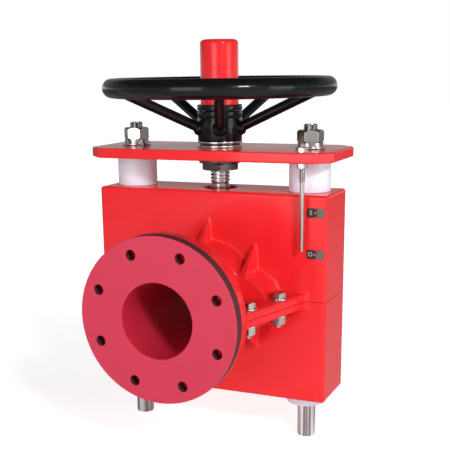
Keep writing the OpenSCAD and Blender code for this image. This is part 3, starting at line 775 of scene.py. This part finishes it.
class VALVE_OT_yoke_plate(bpy.types.Operator):
    """Smooths the painted yoke plate"""
    bl_idname = "valve.yoke_plate"
    bl_label = "Yoke plate"

    def execute(self, context):
        piece = copy_of("yoke_plate", "yoke_plate_painted")
        smooth(piece, angle=40)
        weight_normals(piece)
        settle(piece, "yoke", "red_paint", "red gloss enamel", "yoke_plate")
        return {"FINISHED"}


class VALVE_OT_guide_rods(bpy.types.Operator):
    """Turns the guide rods and cuts the thread of their studs"""
    bl_idname = "valve.guide_rods"
    bl_label = "Guide rods"

    def execute(self, context):
        sizes = context.scene.valve_sizes
        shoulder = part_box("yoke_plate")[0].z
        for side in ("left", "right"):
            node = side + "_guide_rod"
            centre, low, high = middle(node)
            r = (high.x - low.x) / 2
            rod = turned("rod", [(0, low.z)] + rounded_foot(r, low.z, sizes.rod_edge, BLUNT_EDGE)
                         + [(r, shoulder), (0, shoulder)])
            thread = threaded("stud", sizes.stud / 2, sizes.stud_pitch, shoulder, high.z, bevel=sizes.rod_edge)
            piece = spread(join([rod, thread], "rod"), [centre.xy], side + "_rod")
            settle(piece, "yoke", "ground_steel", "ground chromed steel", node)
        return {"FINISHED"}


class VALVE_OT_stud_nuts(bpy.types.Operator):
    """Turns the washers, cuts the nuts and smooths the spring washers on the studs"""
    bl_idname = "valve.stud_nuts"
    bl_label = "Stud nuts and washers"

    def execute(self, context):
        sizes = context.scene.valve_sizes
        r = sizes.stud / 2
        for side, turn in (("left_", sizes.left_nut_turn), ("right_", sizes.right_nut_turn)):
            low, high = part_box(side + "washer")
            washer = ring("washer", r, (high.x - low.x) / 2, low.z, high.z, sizes.nut_edge)
            spring = copy_of(side + "spring_washer", side + "spring_washer_zinc")
            smooth(spring)
            centre, low, high = middle(side + "rod_nut")
            nut = hexagon("nut", sizes.stud_flats, low.z, high.z, r, turn)
            for piece, node in ((spread(washer, [centre.xy], side + "washer_zinc"), "washer"),
                                (spring, "spring_washer"),
                                (spread(nut, [centre.xy], side + "nut_zinc"), "rod_nut")):
                settle(piece, "yoke", "bright_steel", "bright zinc steel", side + node)
        return {"FINISHED"}


class VALVE_OT_indicator(bpy.types.Operator):
    """Turns and threads the indicator rod and cuts its nuts"""
    bl_idname = "valve.indicator"
    bl_label = "Position indicator"

    def execute(self, context):
        sizes = context.scene.valve_sizes
        centre, low, high = middle("indicator_rod")
        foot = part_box("yoke_plate")[0].z - sizes.pointer_thread_l
        r, thread_r = sizes.pointer / 2, sizes.pointer_thread / 2
        rod = turned("rod", [(0, low.z)] + rounded_foot(r, low.z, sizes.pointer_tip)
                     + [(r, foot + OVERLAP), (0, foot + OVERLAP)], steps=32)
        thread = threaded("thread", thread_r, sizes.pointer_pitch, foot, high.z, bevel=sizes.pointer_bevel,
                          low_bevel=sizes.pointer_runout, steps=24)
        rod = spread(join([rod, thread], "rod"), [centre.xy], "indicator_pointer")
        settle(rod, "yoke", "bright_steel", "bright zinc steel", "indicator_rod")
        for node in ("indicator_top_nut", "indicator_lower_nut"):
            centre, low, high = middle(node)
            nut = hexagon("nut", sizes.pointer_flats, low.z, high.z, thread_r)
            settle(spread(nut, [centre.xy], node + "_zinc"), "yoke", "bright_steel", "bright zinc steel", node)
        return {"FINISHED"}


class VALVE_OT_bearing(bpy.types.Operator):
    """Turns the bearing races and the ball cage between them"""
    bl_idname = "valve.bearing"
    bl_label = "Thrust bearing"

    def execute(self, context):
        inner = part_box("drive_sleeve")[1].x
        for node, body, slot, material in (("lower_race", "yoke", "ground_steel", "bright zinc steel"),
                                           ("upper_race", "wheel", "ground_steel", "bright zinc steel"),
                                           ("ball_cage", "yoke", "bright_steel", "oil-blackened steel")):
            centre, low, high = middle(node)
            piece = ring(node, inner, (high.x - low.x) / 2, low.z, high.z, context.scene.valve_sizes.nut_edge)
            settle(spread(piece, [centre.xy], node + "_turned"), body, slot, material, node)
        return {"FINISHED"}


class VALVE_OT_hub(bpy.types.Operator):
    """Rounds the hub and its slotted lock rings"""
    bl_idname = "valve.hub"
    bl_label = "Hub and lock rings"

    def execute(self, context):
        for node in ("hub", "lower_lock_ring", "upper_lock_ring"):
            piece = copy_of(node, node + "_enamelled")
            round_edges(piece, context.scene.valve_sizes.hub_edge)
            settle(piece, "wheel", "black_paint", "black stove enamel", node)
        return {"FINISHED"}


SPOKES = 5
# How far a spoke runs into the hub and the rim, and where its weld meets the hub
HUB_DEPTH, RIM_DEPTH, HUB_LIP = 6 * MM, 4 * MM, 0.5 * MM
# Profiles of a spoke's welds as shares of their size: out from the spoke, and along it from the hub or the rim
HUB_WELD = ((0.9, 0.4), (0.5, 0.9), (0.0, 1.3))
RIM_WELD = ((0.0, -1.2), (0.3, -0.4), (0.8, 0.3))


class VALVE_OT_handwheel(bpy.types.Operator):
    """Smooths the rim and models the five spokes with their welds"""
    bl_idname = "valve.handwheel"
    bl_label = "Handwheel"

    def execute(self, context):
        sizes = context.scene.valve_sizes
        rim = copy_of("wheel_rim", "wheel_rim_enamelled")
        smooth(rim, angle=60)
        settle(rim, "wheel", "black_paint", "black stove enamel", "wheel_rim")
        centre, low, high = middle("wheel_rim")
        tube = (high.z - low.z) / 2
        rim_r = (high.x - low.x) / 2 - tube
        hub_low, hub_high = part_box("hub")
        hub_r = (hub_high.x - hub_low.x) / 2
        foot = hub_low.z + sizes.spoke_foot
        rise = math.atan2(centre.z - foot, rim_r)
        inner = hub_r / math.cos(rise)
        outer = rim_r / math.cos(rise) - tube
        r, weld = sizes.spoke / 2, sizes.weld
        flare = r + RIM_WELD[-1][0] * weld
        bar = turned("bar", [(0, inner - HUB_DEPTH), (r + weld, inner - HUB_DEPTH), (r + weld, inner - HUB_LIP)]
                     + [(r + out * weld, inner + along * weld) for out, along in HUB_WELD]
                     + [(r + out * weld, outer + along * weld) for out, along in RIM_WELD]
                     + [(flare, outer + RIM_DEPTH), (0, outer + RIM_DEPTH)], steps=40)
        lean = Matrix.Rotation(math.pi / 2 - rise, 4, "Y")
        for i in range(SPOKES):
            turn = Matrix.Rotation(sizes.spoke_turn + i * math.tau / SPOKES, 4, "Z")
            piece = again(bar, Matrix.Translation((centre.x, centre.y, foot)) @ turn @ lean)
            node = "spoke_%d" % (i + 1)
            piece.name = node + "_welded"
            settle(piece, "wheel", "black_paint", "black stove enamel", node)
        bpy.data.objects.remove(bar)
        return {"FINISHED"}


class VALVE_OT_stem_cover(bpy.types.Operator):
    """Smooths the painted stem cover"""
    bl_idname = "valve.stem_cover"
    bl_label = "Stem cover"

    def execute(self, context):
        piece = copy_of("stem_cover", "stem_cover_painted")
        smooth(piece, angle=40)
        settle(piece, "wheel", "red_paint", "red gloss enamel", "stem_cover")
        return {"FINISHED"}


class VALVE_OT_drive(bpy.types.Operator):
    """Turns the collar and cuts the retaining nut under the plate"""
    bl_idname = "valve.drive"
    bl_label = "Screw drive"

    def execute(self, context):
        sizes = context.scene.valve_sizes
        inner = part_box("drive_sleeve")[1].x
        centre, low, high = middle("collar_ring")
        collar = ring("collar", inner, (high.x - low.x) / 2, low.z, high.z, 2 * sizes.nut_edge)
        settle(spread(collar, [centre.xy], "collar_turned"), "wheel", "ground_steel", "oil-blackened steel",
               "collar_ring")
        low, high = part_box("retaining_nut")
        nut = hexagon("nut", sizes.drive_flats, low.z, high.z, inner, sizes.spoke_turn)
        settle(spread(nut, [centre.xy], "retaining_nut_cut"), "wheel", "black_paint", "oil-blackened steel",
               "retaining_nut")
        sleeve = copy_of("drive_sleeve", "drive_sleeve_turned")
        smooth(sleeve)
        settle(sleeve, "wheel", "bright_steel", "oil-blackened steel", "drive_sleeve")
        return {"FINISHED"}


# Length over which the stem's groove slopes down to its depth
GROOVE_SLOPE = 1 * MM


class VALVE_OT_stem(bpy.types.Operator):
    """Cuts the left-hand thread of the stem above its plain end"""
    bl_idname = "valve.stem"
    bl_label = "Stem"

    def execute(self, context):
        sizes = context.scene.valve_sizes
        centre, low, high = middle("stem")
        r, edge = (high.x - low.x) / 2, sizes.stem_edge
        core = r - sizes.stem_groove
        neck = low.z + sizes.stem_plain
        groove = neck - sizes.stem_groove_l
        end = turned("end", [(0, low.z), (r - edge, low.z), (r, low.z + edge), (r, groove),
                             (core, groove + GROOVE_SLOPE), (core, neck + OVERLAP), (0, neck + OVERLAP)])
        thread = threaded("thread", r, sizes.stem_pitch, neck, high.z, left=True, bevel=sizes.stem_bevel,
                          low_bevel=sizes.stem_groove, steps=48, form=TRAPEZOID)
        piece = spread(join([end, thread], "stem"), [centre.xy], "stem_threaded")
        settle(piece, "stem", "bright_steel", "bright zinc steel", "stem")
        return {"FINISHED"}


# Lamps: name, place, side of the square in metres and power in watts, all aimed at one point of the valve
LAMPS = (("key", (1.71, -1.44, 1.27), 0.4, 37),
         ("fill", (-0.3, -2.3, 0.5), 1.3, 21),
         ("side", (2.2, -0.1, 0.35), 1.0, 11))
LAMP_AIM = Vector((0, 0.2, 0.1))
FLOOR_SIDE, FLOOR_CELLS = 24, 8
# How white the camera sees the floor: distance from the valve in metres, and level
FLOOR_NEAR, FLOOR_FAR = (0.5, 0.75), (1.6, 1.0)
# Painted reflection: how brightly the floor glows for metal and gloss only, by place along the flow in metres, and
# level
FLOOR_REFLECTION_GLOW = ((-0.3, 0.2), (-0.05, 0.45), (0.13, 0.45), (0.26, 0.05))
# How bright the studio is: degrees over the horizon, and level
STUDIO = ((-90, 1.0), (4.2, 1.0), (4.6, 0.3), (20, 0.3), (32, 0.06), (90, 0.04))
# The camera: its place, its yaw, pitch and roll in degrees, and in pixels the side of the picture, the focal
# length and the point that it looks straight at
CAMERA_PLACE = (0.5195, -0.9933, 0.3103)
CAMERA_TURN = (24.192, -15.058, -0.817)
PHOTO_SIDE, FOCAL, ACROSS, DOWN = 450, 916.54, 208.9, 313.9
SENSOR = 36


class VALVE_OT_stage(bpy.types.Operator):
    """Lays the pale floor, lights the studio and sets up the camera"""
    bl_idname = "valve.stage"
    bl_label = "Stage"

    def execute(self, context):
        scene = context.scene
        scene.view_settings.view_transform = "Standard"
        lay_floor(CAD_BOX[0][2])
        light_world(scene)
        for name, place, side, power in LAMPS:
            lamp = bpy.data.lights.new(name, "AREA")
            lamp.energy, lamp.size = power, side
            lit = bpy.data.objects.new(name, lamp)
            lit.location = place
            lit.rotation_euler = (LAMP_AIM - Vector(place)).to_track_quat("-Z", "Y").to_euler()
            scene.collection.objects.link(lit)
        set_camera(scene)
        return {"FINISHED"}


def levels(tree, value, stops, low=-1.0, high=1.0):
    """Grey levels that run from stop to stop, each stop a place between low and high and its level."""
    share = add(tree, "ShaderNodeMapRange", {"Value": value, "From Min": low, "From Max": high})
    ramp = add(tree, "ShaderNodeValToRGB", {"Fac": share})
    held = ramp.color_ramp.elements
    for i, (at, level) in enumerate(stops):
        spot = (at - low) / (high - low)
        stop = held[i] if i < 2 else held.new(spot)
        stop.position, stop.color = spot, (level, level, level, 1)
    return ramp


def lay_floor(level):
    """A wide pale floor under the valve that keeps the valve's shadow and reads as white."""
    deselect()
    bpy.ops.mesh.primitive_grid_add(x_subdivisions=FLOOR_CELLS, y_subdivisions=FLOOR_CELLS, size=FLOOR_SIDE,
                                    location=(0, 0, level))
    floor = bpy.context.object
    floor.name = "floor"
    place_in_mesh()
    material = bpy.data.materials.new("matt studio floor")
    material.use_nodes = True
    tree = material.node_tree
    tree.nodes.clear()
    ray = add(tree, "ShaderNodeLightPath").outputs
    place = add(tree, "ShaderNodeTexCoord").outputs["Object"]
    # white in the picture, a little less near the valve so that its shadow shows
    away = add(tree, "ShaderNodeVectorMath", {0: place}, operation="LENGTH")
    (near, near_level), (far, far_level) = FLOOR_NEAR, FLOOR_FAR
    white = add(tree, "ShaderNodeMapRange", {"Value": away, "From Min": near, "From Max": far,
                                             "To Min": near_level, "To Max": far_level})
    seen = add(tree, "ShaderNodeMath", {0: ray["Is Camera Ray"], 1: white}, operation="MULTIPLY")
    # painted reflection: the floor glows for metal and gloss only, brightest under the front of the valve and
    # fading to both sides
    along = add(tree, "ShaderNodeSeparateXYZ", {0: place}).outputs["Y"]
    bright = levels(tree, along, FLOOR_REFLECTION_GLOW)
    mirrored = add(tree, "ShaderNodeMath", {0: ray["Is Glossy Ray"], 1: ray["Is Transmission Ray"]},
                   operation="MAXIMUM")
    lift = add(tree, "ShaderNodeMath", {0: mirrored, 1: bright, 2: seen}, operation="MULTIPLY_ADD")
    matt = add(tree, "ShaderNodeBsdfDiffuse", {"Color": palette().floor})
    glow = add(tree, "ShaderNodeEmission", {"Strength": lift})
    both = add(tree, "ShaderNodeAddShader", {0: matt, 1: glow})
    add(tree, "ShaderNodeOutputMaterial", {"Surface": both})
    floor.data.materials.append(material)


def light_world(scene):
    """A dim studio that is white only where it meets the floor."""
    world = bpy.data.worlds.new("studio")
    scene.world = world
    world.use_nodes = True
    tree = world.node_tree
    tree.nodes.clear()
    heading = add(tree, "ShaderNodeTexCoord").outputs["Generated"]
    height = add(tree, "ShaderNodeSeparateXYZ", {0: heading}).outputs["Z"]
    tone = levels(tree, height, [(math.sin(math.radians(degrees)), level) for degrees, level in STUDIO])
    sky = add(tree, "ShaderNodeBackground", {"Color": tone, "Strength": 1.0})
    add(tree, "ShaderNodeOutputWorld", {"Surface": sky})


def set_camera(scene):
    """The camera that the photograph's perspective gives, from its flange, body and plate corners."""
    yaw, pitch, roll = (math.radians(degrees) for degrees in CAMERA_TURN)
    ahead = Vector((-math.sin(yaw) * math.cos(pitch), math.cos(yaw) * math.cos(pitch), math.sin(pitch)))
    level = Vector((math.cos(yaw), math.sin(yaw), 0))
    up = level.cross(ahead)
    right = math.cos(roll) * level + math.sin(roll) * up
    above = -math.sin(roll) * level + math.cos(roll) * up
    data = bpy.data.cameras.new("camera")
    data.sensor_width = SENSOR
    data.lens = FOCAL / PHOTO_SIDE * SENSOR
    data.shift_x = 0.5 - ACROSS / PHOTO_SIDE
    data.shift_y = DOWN / PHOTO_SIDE - 0.5
    camera = bpy.data.objects.new("camera", data)
    turn = Matrix((right, above, -ahead)).transposed().to_4x4()
    camera.matrix_world = Matrix.Translation(CAMERA_PLACE) @ turn
    scene.collection.objects.link(camera)
    scene.camera = camera


class VALVE_PT_panel(bpy.types.Panel):
    """Lists the valve's pieces, colours and sizes"""
    bl_idname = "VALVE_PT_panel"
    bl_label = "Pinch valve"
    bl_space_type = "VIEW_3D"
    bl_region_type = "UI"
    bl_category = "Valve"

    def draw(self, context):
        for group in (context.scene.valve_colours, context.scene.valve_sizes):
            box = self.layout.box()
            for name in group.bl_rna.properties.keys():
                if name not in ("rna_type", "name"):
                    box.prop(group, name)
        for piece in OPERATORS:
            self.layout.operator(piece.bl_idname)


OPERATORS = (VALVE_OT_stage, VALVE_OT_castings, VALVE_OT_rubber, VALVE_OT_ear_bolts, VALVE_OT_bushes,
             VALVE_OT_marks, VALVE_OT_yoke_plate, VALVE_OT_guide_rods, VALVE_OT_stud_nuts, VALVE_OT_indicator,
             VALVE_OT_bearing, VALVE_OT_hub, VALVE_OT_handwheel, VALVE_OT_stem_cover, VALVE_OT_drive,
             VALVE_OT_stem)
CLASSES = (ValveColours, ValveSizes) + OPERATORS + (VALVE_PT_panel,)


def register():
    for kind in CLASSES:
        bpy.utils.register_class(kind)
    bpy.types.Scene.valve_colours = bpy.props.PointerProperty(type=ValveColours)
    bpy.types.Scene.valve_sizes = bpy.props.PointerProperty(type=ValveSizes)


def unregister():
    del bpy.types.Scene.valve_sizes
    del bpy.types.Scene.valve_colours
    for kind in reversed(CLASSES):
        bpy.utils.unregister_class(kind)


def main():
    register()
    bpy.ops.valve.stage()
    bpy.ops.valve.castings()
    bpy.ops.valve.rubber()
    bpy.ops.valve.ear_bolts()
    bpy.ops.valve.bushes()
    bpy.ops.valve.marks()
    bpy.ops.valve.yoke_plate()
    bpy.ops.valve.guide_rods()
    bpy.ops.valve.stud_nuts()
    bpy.ops.valve.indicator()
    bpy.ops.valve.bearing()
    bpy.ops.valve.hub()
    bpy.ops.valve.handwheel()
    bpy.ops.valve.stem_cover()
    bpy.ops.valve.drive()
    bpy.ops.valve.stem()


if __name__ == "__main__":
    main()
